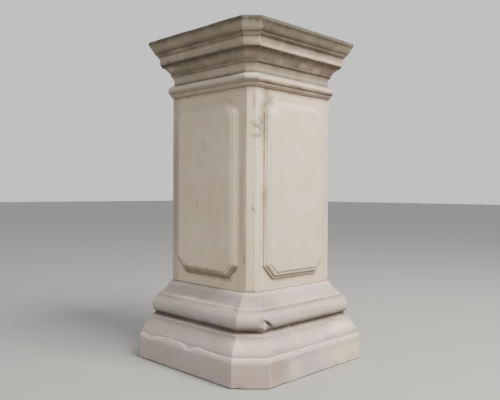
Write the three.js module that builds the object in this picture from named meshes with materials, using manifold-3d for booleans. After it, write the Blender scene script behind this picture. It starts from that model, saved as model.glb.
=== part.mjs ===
// Column base: a free-standing square pedestal of carved stone, laid in three courses.
// A moulded base carries a panelled die, and a moulded cap lies on the die.
// Millimetres, Z up. The origin is the middle of the underside, the front is -Y.
import * as THREE from 'three';
import { mergeVertices } from 'three/addons/utils/BufferGeometryUtils.js';
import Module from 'manifold-3d';

const wasm = await Module();
wasm.setup();

// Die: the upright block. Its width and height drive what sits below and above it.
const dieWidth = 446;
const dieHeight = 698.4;
const dieCornerWidth = 30; // across the flat cut on each upright corner
const jointGap = 0.3; // clearance in each bed joint

// Raised panel on each face of the die, with clipped corners and a stepped border
const panelSideMargin = 40; // from the cut corner's arris to the panel
const panelFootMargin = 40;
const panelHeadMargin = 39;
const panelCornerCut = 46; // along each side of the clipped corner
const panelFilletRise = 6;
const panelFilletWidth = 6;
const panelCoveRise = 8;
const panelCoveWidth = 14;
const panelFieldRise = 3;
const panelFieldSlope = 4; // width of the sloping edge round the flat field
const panelRoot = 12; // how far a panel's body reaches back into the die

// Base course, from the ground up. A depth is how far a member reaches out or in.
const footWear = 4; // worn arris along the ground
const plinthHeight = 84;
const plinthBevelHeight = 12;
const plinthBevelDepth = 3;
const ledgeRise = 2;
const ledgeDepth = 4.5;
const quirkHeight = 3.5;
const ogeeLip = 1.5; // the ogee's belly stands this far over the quirk below it
const ogeeLipRise = 0.5;
const ogeeHeight = 52;
const ogeeDepth = 34;
const shelfFaceHeight = 5;
const shelfRise = 7;
const shelfDepth = 13.5;
const grooveHeight = 8;
const grooveDepth = 12.5;
const torusLowerHeight = 26;
const torusUpperHeight = 35.5;
const torusDepth = 22.5;
const stepFaceHeight = 4;
const stepRise = 2.5;
const stepDepth = 4;
const cavettoHeight = 37;
const cavettoDepth = 30;
const bedArrisHeight = 8;
const bedArrisDepth = 8;
const bedMargin = 8; // the base's upper bed shows this far beyond the die
const baseFootCornerWidth = 120;
const baseBedCornerWidth = 48;

// Cap course, from the die up
const capFootMargin = 3; // the cap's lower bed shows this far beyond the die
const neckCoveHeight = 6;
const neckCoveDepth = 9.5;
const neckFilletHeight = 8;
const beadLowerHeight = 14;
const beadDepth = 7.5;
const beadUpperHeight = 18;
const beadReturn = 16; // how far the bead's upper half comes back in
const friezeFootHeight = 4;
const friezeMargin = 1; // the frieze stands this far beyond the die
const friezeHeight = 31;
const friezeFlare = 4;
const lowerFilletRise = 3;
const lowerFilletDepth = 6.5;
const lowerFilletHeight = 7;
const lowerCymaHeight = 32;
const lowerCymaDepth = 25.5;
const soffitRise = 2;
const soffitDepth = 7.5;
const coronaHeight = 32;
const coronaBatter = 2; // the corona's face leans out this far
const crownUndersideRise = 5.5;
const crownUndersideDepth = 9.5;
const crownFilletHeight = 7.5;
const crownCymaHeight = 28;
const crownCymaDepth = 21;
const topUndersideRise = 2;
const topUndersideDepth = 2.5;
const topFilletHeight = 11;
const topWearHeight = 3;
const topWearDepth = 2;
const capFootCornerWidth = 42;
const capTopCornerWidth = 67;

// Damage on the base: scoops lost from the plinth's front upper arris, and a gash in the torus
const scoopReach = 7; // how deep a scoop bites into the face
const scoopHeight = 16;
const middleScoopLength = 52;
const middleScoopPlace = 33; // right of the middle of the front
const leftScoopLength = 110;
const leftScoopPlace = -205;
const gashLength = 50;
const gashWidth = 7;
const gashDepth = 9;
const gashInset = 22; // from the cut corner's arris to the middle of the gash
const gashDrop = 4; // from the torus's belly down to the middle of the gash
const gashTilt = THREE.MathUtils.degToRad(36);

// Handles of the curved members: shares of each member's depth and rise
const quarterRound = 0.55;
const swellOut = [[quarterRound, 0], [1, 1 - quarterRound]];
const beadClose = [[0, quarterRound], [1 - quarterRound, 1]];
const torusClose = [[0, 0.5], [0.45, 0.88]];
const ogeeBend = [[0.22, 0.6], [0.81, 0.75]];
const cavettoBend = [[0.4, 0.24], [0.8, 0.6]];
const neckCoveBend = [[0.1, 0.5], [0.5, 0.9]];
const friezeBend = [[0.05, 0.4], [0.4, 0.8]];
const lowerCymaBend = [[0.3, 0.4], [0.5, 0.6]];
const crownCymaBend = [[0.62, 0.11], [0.67, 0.71]];

// Fineness of the curves
const curveSteps = 6;
const scoopDetail = 1;

// Widths and heights that follow from the sizes above
const dieHalf = dieWidth / 2;
const bedHalf = dieHalf + bedMargin;
const torusHalf = bedHalf + bedArrisDepth + cavettoDepth + stepDepth + torusDepth;
const ogeeFootHalf = torusHalf - grooveDepth + shelfDepth + ogeeDepth;
const plinthHalf = ogeeFootHalf - ogeeLip + ledgeDepth + plinthBevelDepth;
const plinthArrisZ = plinthHeight + plinthBevelHeight / 2;
const torusFootZ = plinthHeight + plinthBevelHeight + ledgeRise + quirkHeight + ogeeLipRise
  + ogeeHeight + shelfFaceHeight + shelfRise + grooveHeight;
const torusBellyZ = torusFootZ + torusLowerHeight;
const baseHeight = torusBellyZ + torusUpperHeight + stepFaceHeight + stepRise
  + cavettoHeight + bedArrisHeight;
const dieFootZ = baseHeight + jointGap;
const capFootZ = dieFootZ + dieHeight + jointGap;
const capFootHalf = dieHalf + capFootMargin;
const capTopHalf = dieHalf + friezeMargin + friezeFlare + lowerFilletDepth + lowerCymaDepth
  + soffitDepth + coronaBatter + crownUndersideDepth + crownCymaDepth + topUndersideDepth;

// Stone colours: warm grey limestone, the cap darker with weather
const baseStone = new THREE.MeshStandardMaterial({ color: 0xb9aea6, roughness: 0.9, metalness: 0 });
const dieStone = new THREE.MeshStandardMaterial({ color: 0xbfb5a6, roughness: 0.88, metalness: 0 });
const capStone = new THREE.MeshStandardMaterial({ color: 0x968b7b, roughness: 0.92, metalness: 0 });

// Outline of a rectangle with its four corners clipped at 45 degrees, counterclockwise
function clippedRectangle(halfWidth, halfHeight, cut) {
  const x = halfWidth;
  const y = halfHeight;
  return [
    new THREE.Vector2(x, cut - y),
    new THREE.Vector2(x, y - cut),
    new THREE.Vector2(x - cut, y),
    new THREE.Vector2(cut - x, y),
    new THREE.Vector2(-x, y - cut),
    new THREE.Vector2(-x, cut - y),
    new THREE.Vector2(cut - x, -y),
    new THREE.Vector2(x - cut, -y),
  ];
}

// Closed body through a row of rings of equal count, counterclockwise seen from where the row ends
function loft(rings) {
  const count = rings[0].length;
  const positions = rings.flat().flatMap((point) => point.toArray());
  const indices = [];
  for (let level = 0; level < rings.length - 1; level += 1) {
    for (let side = 0; side < count; side += 1) {
      const a = level * count + side;
      const b = level * count + ((side + 1) % count);
      indices.push(a, b, b + count);
      indices.push(a, b + count, a + count);
    }
  }
  const last = (rings.length - 1) * count;
  for (let side = 1; side < count - 1; side += 1) {
    indices.push(0, side + 1, side);
    indices.push(last, last + side, last + side + 1);
  }
  const geometry = new THREE.BufferGeometry();
  geometry.setAttribute('position', new THREE.Float32BufferAttribute(positions, 3));
  geometry.setIndex(indices);
  return geometry;
}

// Width of the flat cut across a course's corners, which widens evenly with the course's reach
function cornerWidth(half, taper) {
  const share = (half - taper.nearHalf) / (taper.farHalf - taper.nearHalf);
  return THREE.MathUtils.lerp(taper.nearWidth, taper.farWidth, share);
}

const baseTaper = {
  nearHalf: bedHalf, nearWidth: baseBedCornerWidth, farHalf: plinthHalf, farWidth: baseFootCornerWidth,
};
const capTaper = {
  nearHalf: capFootHalf, nearWidth: capFootCornerWidth, farHalf: capTopHalf, farWidth: capTopCornerWidth,
};

// Course of stone: a moulding profile (reach, height) run round a square with cut corners
function course(profile, taper) {
  const rings = profile.map(({ x: half, y: height }) => {
    const plan = clippedRectangle(half, half, cornerWidth(half, taper) / Math.SQRT2);
    return plan.map((point) => new THREE.Vector3(point.x, point.y, height));
  });
  return loft(rings);
}

// Pen that draws a moulding profile member by member, outwards and upwards from where it stands
class ProfilePen {
  constructor(half, height) {
    this.half = half;
    this.height = height;
    this.path = new THREE.Path();
    this.path.moveTo(half, height);
  }

  line(outwards, upwards) {
    this.half += outwards;
    this.height += upwards;
    this.path.lineTo(this.half, this.height);
    return this;
  }

  // S-shaped or hollow member: two handles, each a share of the member's depth and rise
  curve(outwards, upwards, [outA, upA], [outB, upB]) {
    const { half, height } = this;
    this.half += outwards;
    this.height += upwards;
    this.path.bezierCurveTo(
      half + outwards * outA, height + upwards * upA,
      half + outwards * outB, height + upwards * upB,
      this.half, this.height,
    );
    return this;
  }

  points() {
    return this.path.getPoints(curveSteps);
  }
}

// Profile of the base, from the ground to its upper bed
function baseProfile() {
  const pen = new ProfilePen(plinthHalf - footWear, 0);
  pen.line(footWear, footWear);
  pen.line(0, plinthHeight - footWear);
  pen.line(-plinthBevelDepth, plinthBevelHeight);
  pen.line(-ledgeDepth, ledgeRise);
  pen.line(0, quirkHeight);
  pen.line(ogeeLip, ogeeLipRise);
  pen.curve(-ogeeDepth, ogeeHeight, ...ogeeBend);
  pen.line(0, shelfFaceHeight);
  pen.line(-shelfDepth, shelfRise);
  pen.line(0, grooveHeight);
  pen.curve(grooveDepth, torusLowerHeight, ...swellOut);
  pen.curve(-torusDepth, torusUpperHeight, ...torusClose);
  pen.line(0, stepFaceHeight);
  pen.line(-stepDepth, stepRise);
  pen.curve(-cavettoDepth, cavettoHeight, ...cavettoBend);
  pen.line(-bedArrisDepth, bedArrisHeight);
  return pen.points();
}

// Profile of the cap, from its lower bed to the top
function capProfile() {
  const pen = new ProfilePen(capFootHalf, capFootZ);
  pen.curve(neckCoveDepth, neckCoveHeight, ...neckCoveBend);
  pen.line(0, neckFilletHeight);
  pen.curve(beadDepth, beadLowerHeight, ...swellOut);
  pen.curve(-beadReturn, beadUpperHeight, ...beadClose);
  pen.line(dieHalf + friezeMargin - pen.half, friezeFootHeight);
  pen.curve(friezeFlare, friezeHeight, ...friezeBend);
  pen.line(lowerFilletDepth, lowerFilletRise);
  pen.line(0, lowerFilletHeight);
  pen.curve(lowerCymaDepth, lowerCymaHeight, ...lowerCymaBend);
  pen.line(soffitDepth, soffitRise);
  pen.line(coronaBatter, coronaHeight);
  pen.line(crownUndersideDepth, crownUndersideRise);
  pen.line(0, crownFilletHeight);
  pen.curve(crownCymaDepth, crownCymaHeight, ...crownCymaBend);
  pen.line(topUndersideDepth, topUndersideRise);
  pen.line(0, topFilletHeight);
  pen.line(-topWearDepth, topWearHeight);
  return pen.points();
}

// Joins and cuts are made on closed bodies whose shared corners are merged
function toSolid(geometry) {
  const bare = geometry.clone();
  bare.deleteAttribute('normal');
  bare.deleteAttribute('uv');
  const merged = mergeVertices(bare);
  const vertProperties = new Float32Array(merged.attributes.position.array);
  const triVerts = new Uint32Array(merged.index.array);
  return new wasm.Manifold(new wasm.Mesh({ numProp: 3, vertProperties, triVerts }));
}

function toGeometry(solid) {
  const mesh = solid.getMesh();
  const geometry = new THREE.BufferGeometry();
  geometry.setAttribute('position', new THREE.BufferAttribute(mesh.vertProperties, 3));
  geometry.setIndex(new THREE.BufferAttribute(mesh.triVerts, 1));
  return geometry;
}

// Raised panel of the front face. Each ring of its border lies one step in and one step out.
function panel() {
  const dieCut = dieCornerWidth / Math.SQRT2;
  const outerHalfWidth = dieHalf - dieCut - panelSideMargin;
  const panelFootZ = dieFootZ + panelFootMargin;
  const panelHeadZ = dieFootZ + dieHeight - panelHeadMargin;
  const middleZ = (panelFootZ + panelHeadZ) / 2;
  const outerHalfHeight = (panelHeadZ - panelFootZ) / 2;
  const cutLossPerInset = 2 - Math.SQRT2;
  const border = new THREE.Path();
  border.moveTo(0, -panelRoot);
  border.lineTo(0, panelFilletRise);
  border.lineTo(panelFilletWidth, panelFilletRise);
  border.bezierCurveTo(
    panelFilletWidth, panelFilletRise + panelCoveRise * quarterRound,
    panelFilletWidth + panelCoveWidth * (1 - quarterRound), panelFilletRise + panelCoveRise,
    panelFilletWidth + panelCoveWidth, panelFilletRise + panelCoveRise,
  );
  border.lineTo(
    panelFilletWidth + panelCoveWidth + panelFieldSlope,
    panelFilletRise + panelCoveRise + panelFieldRise,
  );
  const rings = border.getPoints(curveSteps).map(({ x: inset, y: rise }) => {
    const cut = panelCornerCut - inset * cutLossPerInset;
    const outline = clippedRectangle(outerHalfWidth - inset, outerHalfHeight - inset, cut);
    return outline.map((point) => new THREE.Vector3(point.x, -dieHalf - rise, middleZ + point.y));
  });
  return loft(rings);
}

// Rounded hollow: a ball stretched along X, at the given place, to be cut away
function scoop(length, width, height, place, tilt = 0) {
  const geometry = new THREE.IcosahedronGeometry(0.5, scoopDetail);
  geometry.scale(length, width, height);
  geometry.rotateY(tilt);
  geometry.translate(place.x, place.y, place.z);
  return toSolid(geometry);
}

// Scoop out of the plinth's front upper arris
function arrisScoop(length, along) {
  const place = new THREE.Vector3(along, -plinthHalf, plinthArrisZ);
  return scoop(length, 2 * scoopReach, scoopHeight, place);
}

// Gash across the torus on the right face, running down and away from the near cut corner.
// It is made on the front and turned to the right.
function torusGash() {
  const arris = cornerWidth(torusHalf, baseTaper) / Math.SQRT2 - torusHalf;
  const place = new THREE.Vector3(arris + gashInset, -torusHalf, torusBellyZ - gashDrop);
  return scoop(gashLength, 2 * gashDepth, gashWidth, place, gashTilt).rotate([0, 0, 90]);
}

// Base course, with its losses
function makeBase() {
  const block = toSolid(course(baseProfile(), baseTaper));
  const losses = [
    arrisScoop(middleScoopLength, middleScoopPlace),
    arrisScoop(leftScoopLength, leftScoopPlace),
    torusGash(),
  ];
  return toGeometry(losses.reduce((stone, loss) => stone.subtract(loss), block));
}

// Die with its four panels, one on each face
function makeDie() {
  const plan = clippedRectangle(dieHalf, dieHalf, dieCornerWidth / Math.SQRT2);
  const rings = [dieFootZ, dieFootZ + dieHeight].map((height) => (
    plan.map((point) => new THREE.Vector3(point.x, point.y, height))
  ));
  const frontPanel = toSolid(panel());
  let block = toSolid(loft(rings));
  for (let face = 0; face < 4; face += 1) {
    block = block.add(frontPanel.rotate([0, 0, face * 90]));
  }
  return toGeometry(block);
}

// Cap course
function makeCap() {
  return course(capProfile(), capTaper);
}

// One named mesh, its shading normals worked out per facet
function piece(name, geometry, material) {
  const faceted = geometry.toNonIndexed();
  faceted.computeVertexNormals();
  const mesh = new THREE.Mesh(faceted, material);
  mesh.name = name;
  return mesh;
}

const columnBase = new THREE.Group();
columnBase.add(piece('base', makeBase(), baseStone));
columnBase.add(piece('die', makeDie(), dieStone));
columnBase.add(piece('cap', makeCap(), capStone));

export default columnBase;
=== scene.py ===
# Column base: the weathered looks of a stone pedestal laid in three courses.
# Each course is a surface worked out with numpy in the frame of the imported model, in metres.
import math
from typing import NamedTuple

import bmesh
import bpy
import numpy as np
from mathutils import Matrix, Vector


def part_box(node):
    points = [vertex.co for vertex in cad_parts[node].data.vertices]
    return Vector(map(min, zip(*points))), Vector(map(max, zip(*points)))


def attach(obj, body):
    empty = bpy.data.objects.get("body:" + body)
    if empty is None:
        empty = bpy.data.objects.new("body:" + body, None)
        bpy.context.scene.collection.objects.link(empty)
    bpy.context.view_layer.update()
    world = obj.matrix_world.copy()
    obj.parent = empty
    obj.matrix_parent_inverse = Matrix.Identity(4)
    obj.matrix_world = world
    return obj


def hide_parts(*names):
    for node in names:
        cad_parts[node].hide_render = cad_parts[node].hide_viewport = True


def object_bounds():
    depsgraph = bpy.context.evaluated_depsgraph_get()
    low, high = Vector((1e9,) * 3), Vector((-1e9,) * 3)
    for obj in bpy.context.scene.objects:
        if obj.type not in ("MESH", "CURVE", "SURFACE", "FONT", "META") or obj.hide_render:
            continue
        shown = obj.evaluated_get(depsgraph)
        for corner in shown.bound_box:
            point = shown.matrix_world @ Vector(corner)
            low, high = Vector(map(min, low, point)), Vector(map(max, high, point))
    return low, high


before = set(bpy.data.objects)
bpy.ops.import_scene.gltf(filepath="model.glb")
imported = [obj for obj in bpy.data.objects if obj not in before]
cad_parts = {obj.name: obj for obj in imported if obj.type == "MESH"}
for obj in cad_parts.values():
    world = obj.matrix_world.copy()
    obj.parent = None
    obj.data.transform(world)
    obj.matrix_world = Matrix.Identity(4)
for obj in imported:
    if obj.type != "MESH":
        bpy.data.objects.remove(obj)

bl_info = {
    "name": "Column base",
    "version": (1, 0, 0),
    "blender": (4, 5, 0),
    "location": "3D View > Sidebar > Column base",
    "description": "Weathered stone pedestal with a moulded base, a panelled die and a moulded cap",
    "category": "Add Mesh",
}

CAD_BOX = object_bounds()
MM = 0.001
PHOTO_WIDTH = 500
SENSOR_WIDTH = 36.0
HEIGHT_SLACK = 1.0  # millimetres by which an outline may differ from its node's height
MERGE_DISTANCE = 0.01 * MM  # points nearer than this are merged into one
BELL_TAIL = 3  # a bell that softens an outline is worked out as far as this many times its reach
EIGHTH = math.pi / 4  # an eighth of a turn, from one side to the next
LEG_LOSS = 2 - math.sqrt(2)  # what a cut corner's leg loses for each unit that its outline moves in

# Directions in which the sides face, in degrees counterclockwise from +X
SIDE_ANGLES = {"right": 0, "right corner": 45, "back": 90, "far corner": 135, "left": 180,
               "left corner": 225, "front": 270, "near": 315}
# How squarely a surface faces a side, as a cosine, to belong to it
FACING = 0.85
# What a side adds to the bands starts at this cosine, and is full this much further on
SIDE_START = 0.78
SIDE_FADE = 0.16
# A surface whose normal leans less than this faces no side
LEVEL = 0.12

# From the axis to the middle of a mark, and how deep the mark goes to either side of it, in metres
MARK_REACH = 0.265
MARK_DEPTH = 0.16
# A mark is gone and full at these shares of its half size
MARK_GONE = 1.35
MARK_FULL = 0.45

# Broken hollows: how ragged the rim is, the size of its lumps, and the power that fills the bowl
RIM_RAGGEDNESS = 0.35
RIM_LUMPS = 12 * MM
BOWL_POWER = 0.7

# Bands of dirt, painted shade and wear: how many millimetres they wander up and down and over lumps of what
# size, the sizes of the runs of rain and of the blotches, and how much these change the bands
BAND_WANDER = 2
BAND_LUMPS = 40 * MM
RUN_SIZE = (30 * MM, 30 * MM, 240 * MM)
BLOTCH_SIZE = 90 * MM
BAND_CHANGE = 0.22

# Painted shade and dirt on surfaces that face down: how uneven they are and over patches of what size, the
# lean downwards at which they start, and how much further they are full
OVERHANG_SHADE_CHANGE = 0.3
OVERHANG_SHADE_PATCH = 40 * MM
OVERHANG_START = 0.1
OVERHANG_FADE = 0.5


class Member(NamedTuple):
    """One member of a moulding: how far it reaches out and up, in millimetres, and its bend."""

    name: str
    out: float
    up: float
    bend: tuple = ()


class Taper(NamedTuple):
    """Width of the cut corner at the narrowest and widest reach of a course, in millimetres."""

    near_half: float
    near_width: float
    far_half: float
    far_width: float


class Loss(NamedTuple):
    """A rounded hollow broken out of a side, in millimetres, its tilt in degrees."""

    side: str
    along: float
    height: float
    wide: float
    tall: float
    deep: float
    tilt: float = 0.0


class Weather(NamedTuple):
    """How a piece has weathered, in tables of height in millimetres and share of the full effect."""

    soiling: tuple              # dirt, and painted shade under the mouldings
    sides: tuple                # names of sides, and a table of what is added there: dirt, painted light on the corners and painted shade on the lit faces
    rubbed: tuple               # pale wear
    held: tuple = ((0, 1),)     # dirt that hollows hold, and the painted shade in them
    bared_and_highlit: tuple = ((0, 1),)    # pale wear of arrises, with painted highlight on them
    overhang_dirt_and_shade: tuple = ((0, 0),)  # painted shade on surfaces that face down, with dirt where rain never reaches them


class Mark(NamedTuple):
    """A soft-edged patch of colour on a side, in millimetres, its tilt in degrees."""

    side: str
    along: float
    height: float
    wide: float
    tall: float
    strength: float
    tilt: float = 0.0


class Noise(NamedTuple):
    """A noise pattern: its scale per metre, its layers of finer detail, and how strong these are."""

    scale: float
    detail: float
    roughness: float


# Bends of the curved members: two handles, as shares of the member's reach and rise
QUARTER = 0.55
SWELL_OUT = ((QUARTER, 0), (1, 1 - QUARTER))
BEAD_CLOSE = ((0, QUARTER), (1 - QUARTER, 1))
TORUS_CLOSE = ((0, 0.5), (0.45, 0.88))
OGEE_BEND = ((0.22, 0.6), (0.81, 0.75))
CAVETTO_BEND = ((0.4, 0.24), (0.8, 0.6))
NECK_BEND = ((0.1, 0.5), (0.5, 0.9))
FRIEZE_BEND = ((0.05, 0.4), (0.4, 0.8))
LOWER_CYMA_BEND = ((0.3, 0.4), (0.5, 0.6))
CROWN_CYMA_BEND = ((0.62, 0.11), (0.67, 0.71))

BASE_MEMBERS = (
    Member("foot arris", 4, 4),
    Member("plinth face", 0, 80),
    Member("plinth bevel", -3, 12),
    Member("ledge", -4.5, 2),
    Member("quirk", 0, 3.5),
    Member("ogee lip", 1.5, 0.5),
    Member("ogee", -34, 52, OGEE_BEND),
    Member("shelf face", 0, 5),
    Member("shelf", -13.5, 7),
    Member("groove", 0, 8),
    Member("torus, lower half", 12.5, 26, SWELL_OUT),
    Member("torus, upper half", -22.5, 35.5, TORUS_CLOSE),
    Member("step face", 0, 4),
    Member("step", -4, 2.5),
    Member("cavetto", -30, 37, CAVETTO_BEND),
    Member("bed arris", -8, 8),
)
CAP_MEMBERS = (
    Member("neck cove", 9.5, 6, NECK_BEND),
    Member("neck fillet", 0, 8),
    Member("bead, lower half", 7.5, 14, SWELL_OUT),
    Member("bead, upper half", -16, 18, BEAD_CLOSE),
    Member("frieze foot", -3, 4),
    Member("frieze", 4, 31, FRIEZE_BEND),
    Member("lower fillet's underside", 6.5, 3),
    Member("lower fillet", 0, 7),
    Member("lower cyma", 25.5, 32, LOWER_CYMA_BEND),
    Member("soffit", 7.5, 2),
    Member("corona", 2, 32),
    Member("crown's underside", 9.5, 5.5),
    Member("crown fillet", 0, 7.5),
    Member("crown cyma", 21, 28, CROWN_CYMA_BEND),
    Member("top's underside", 2.5, 2),
    Member("top fillet", 0, 11),
    Member("worn top arris", -2, 3),
)
BASE_TAPER = Taper(231, 48, 336.5, 120)
CAP_TAPER = Taper(226, 42, 302.5, 67)

# Border of a raised panel, from its outer edge inwards: inset and rise of each member
PANEL_MEMBERS = (
    Member("outer fillet's side", 0, 6),
    Member("outer fillet", 6, 0),
    Member("quarter round", 14, 8, ((0, QUARTER), (1 - QUARTER, 1))),
    Member("slope to the field", 4, 3),
)

# The plinth's upper arris: its height and the reach of its wave up and down, in millimetres
PLINTH_ARRIS_HEIGHT = 92
PLINTH_ARRIS_BAND = 11
# Swells of the arris on the front: middle, rise and half width of each, in millimetres
FRONT_ARRIS_WAVE = (
    (-187, -6, 34),
    (-81, 7, 36),
    (-28, 4, 22),
    (32, -5, 17),
    (78, 4, 20),
    (179, -2, 30),
)
# Random wave of the arris on the other sides: its rise in millimetres and the size of its lumps
SIDE_WAVE_RISE = 2.4
SIDE_WAVE_SIZE = (60 * MM, 60 * MM, 400 * MM)

BASE_LOSSES = (
    Loss("right", -209, 195, 62, 10, 9, -36),
    Loss("right", -222, 184, 24, 16, 1.2, -30),
    Loss("front", 33, 93, 64, 17, 3.5),
    Loss("front", -187, 92, 64, 13, 4),
    Loss("right", -110, 92, 42, 9, 2.5),
    Loss("right", 196, 10, 90, 22, 4),
    Loss("near", -40, 4, 30, 18, 2.5),
    Loss("back", 120, 94, 70, 14, 4),
    Loss("left", -60, 92, 50, 12, 3.5),
    Loss("left", 180, 197, 40, 9, 5, 24),
)
CAP_LOSSES = (
    Loss("near", 18, 1176, 16, 24, 2.5, 12),
    Loss("front", -150, 1113, 44, 8, 2.5),
    Loss("right", 60, 1113, 60, 7, 2),
    Loss("back", -90, 1114, 70, 9, 3),
    Loss("left", 140, 1194, 46, 9, 3),
)

DIE_MARKS = {
    "cream": (
        # Paler stone on the near cut corner, which also paints the light that falls on it
        Mark("near", -4, 640, 26, 640, 0.75),
        Mark("near", 9, 820, 10, 260, 0.5),
        Mark("front", 190, 520, 44, 300, 0.3),
    ),
    "pale": (
        Mark("right", -120, 906, 54, 40, 0.75, -40),
        Mark("near", -8, 299, 22, 14, 0.5),
        Mark("right", -187, 700, 12, 420, 0.3),
    ),
    "grime": (
        Mark("front", -184, 640, 58, 860, 0.7),
        Mark("front", 182, 600, 16, 640, 0.2),
        Mark("right", 190, 640, 44, 760, 0.2),
        Mark("left", 184, 620, 50, 760, 0.4),
        Mark("back", -184, 700, 50, 700, 0.3),
        Mark("front", 0, 930, 330, 30, 0.2),
        Mark("right", -150, 940, 50, 100, 0.2),
    ),
    "warm": (
        Mark("front", 178, 560, 22, 330, 0.4),
        Mark("front", 196, 440, 26, 120, 0.3),
        Mark("right", -176, 500, 12, 360, 0.15),
        Mark("left", 60, 520, 60, 360, 0.2),
    ),
    "stain": (
        Mark("right", -149, 962, 40, 76, 0.8),
        Mark("right", -153, 930, 60, 44, 0.5, 20),
        Mark("right", -148, 934, 88, 40, 0.95, 42),
        Mark("right", -120, 954, 40, 16, 0.6, 10),
        Mark("right", -160, 900, 36, 76, 0.75, -14),
        Mark("right", -172, 872, 36, 70, 0.8, -10),
        Mark("right", -190, 850, 56, 22, 0.9, -30),
        Mark("right", -186, 820, 56, 20, 0.75, 10),
        Mark("right", -164, 848, 24, 120, 0.6),
        Mark("right", -87, 948, 30, 10, 0.35),
        Mark("right", -203, 942, 10, 84, 0.45),
        Mark("right", -165, 762, 10, 110, 0.35),
        Mark("right", -162, 610, 18, 96, 0.45),
        Mark("right", -162, 520, 10, 120, 0.3),
        Mark("right", 70, 543, 17, 11, 0.6, 20),
        Mark("right", 99, 548, 10, 24, 0.5),
        Mark("near", 9, 930, 8, 56, 0.6),
        Mark("near", 9, 568, 10, 28, 0.85, 18),
        Mark("front", 3, 800, 8, 40, 0.55),
        Mark("front", -36, 577, 10, 50, 0.35),
        Mark("front", 193, 398, 14, 34, 0.5),
        # Painted shade: this mark and the next seven darken the lower borders and lower clipped corners of
        # the front and right panels, where shade falls under the raised borders
        Mark("front", -95, 342, 90, 34, 0.85, -6),
        Mark("front", -40, 338, 90, 34, 0.9, 2),
        Mark("front", 20, 336, 90, 34, 0.9, -4),
        Mark("front", 78, 333, 90, 32, 0.9, -6),
        Mark("front", 112, 329, 40, 20, 0.8, -10),
        Mark("front", -144, 371, 76, 20, 0.9, -46),
        Mark("front", 143, 360, 40, 20, 0.7, 40),
        Mark("right", 20, 333, 200, 10, 0.3),
        Mark("back", 150, 880, 18, 90, 0.6),
        Mark("back", -90, 420, 14, 36, 0.5),
        # Painted shade along the back panel's lower border
        Mark("back", 30, 338, 150, 16, 0.6),
        Mark("left", -60, 700, 12, 70, 0.4),
        # Painted shade along the left panel's lower border
        Mark("left", 40, 337, 220, 18, 0.7, 3),
    ),
}
BASE_MARKS = {
    "cream": (
        # Paler stone on the near corner's ogee and torus, which also paints a highlight there
        Mark("near", 0, 128, 190, 54, 0.9),
        Mark("near", 0, 222, 96, 34, 0.6),
        Mark("right", 175, 44, 250, 96, 0.8),
        Mark("right", 40, 60, 90, 60, 0.4),
        Mark("right", -118, 44, 70, 90, 0.35),
        Mark("right", 180, 132, 150, 50, 0.5),
        Mark("back", -150, 50, 200, 90, 0.4),
    ),
    "pale": (
        Mark("near", -45, 9, 15, 12, 0.9),
        Mark("right", -92, 138, 12, 62, 0.32, 8),
        Mark("right", -36, 112, 130, 18, 0.3),
        Mark("right", 34, 116, 26, 18, 0.5),
        Mark("right", -222, 188, 34, 30, 0.85, -30),
        Mark("near", -38, 126, 60, 40, 0.7),
        Mark("right", 150, 128, 150, 44, 0.5),
        Mark("right", 60, 244, 330, 14, 0.25),
        Mark("front", -20, 241, 240, 14, 0.35),
        Mark("front", 150, 238, 90, 12, 0.3),
        Mark("back", 60, 240, 200, 12, 0.35),
        Mark("left", -90, 130, 18, 60, 0.4, -6),
    ),
    "grime": (
        # These broad bands darken the whole front of the base at four heights
        Mark("front", 0, 262, 640, 66, 0.5),
        Mark("front", 0, 132, 760, 64, 0.45),
        Mark("front", 0, 214, 640, 60, 0.3),
        Mark("front", 0, 46, 760, 110, 0.14),
        Mark("right", -206, 60, 110, 130, 0.95),
        Mark("right", -190, 262, 150, 60, 0.5),
        Mark("right", -175, 200, 130, 70, 0.45),
        Mark("right", -190, 140, 130, 50, 0.3),
        Mark("right", -110, 206, 70, 36, 0.25),
        Mark("right", -20, 216, 80, 22, 0.2),
        Mark("right", 90, 200, 80, 30, 0.22),
        Mark("right", -100, 78, 200, 24, 0.4),
        Mark("left", 0, 262, 560, 52, 0.4),
        Mark("back", 30, 130, 600, 54, 0.3),
    ),
    "warm": (
        Mark("near", 6, 12, 130, 36, 0.85),
        Mark("near", 0, 42, 190, 130, 0.95),
        Mark("right", -215, 40, 90, 120, 0.6),
        Mark("front", 0, 40, 720, 84, 0.14),
        Mark("front", -200, 40, 120, 60, 0.2),
        Mark("right", -60, 232, 300, 12, 0.3),
        Mark("left", 220, 30, 110, 60, 0.4),
    ),
    "growth": (
        Mark("right", 101, 16, 40, 16, 0.45),
        Mark("right", -60, 40, 70, 60, 0.2),
        Mark("front", -250, 120, 150, 60, 0.2),
        Mark("front", 40, 250, 110, 50, 0.2),
    ),
    "stain": (
        Mark("right", -40, 209, 34, 12, 0.4),
        Mark("right", 16, 208, 40, 11, 0.4),
        Mark("right", -212, 195, 64, 15, 0.9, -36),
        Mark("right", -238, 178, 66, 13, 0.7, -10),
        Mark("right", 134, 157, 24, 10, 0.4),
        Mark("right", -230, 60, 26, 50, 0.3, 20),
    ),
    "crust": (
        Mark("right", -209, 195, 56, 10, 0.7, -36),
        Mark("right", -196, 182, 40, 9, 0.5, -10),
    ),
}
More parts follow.
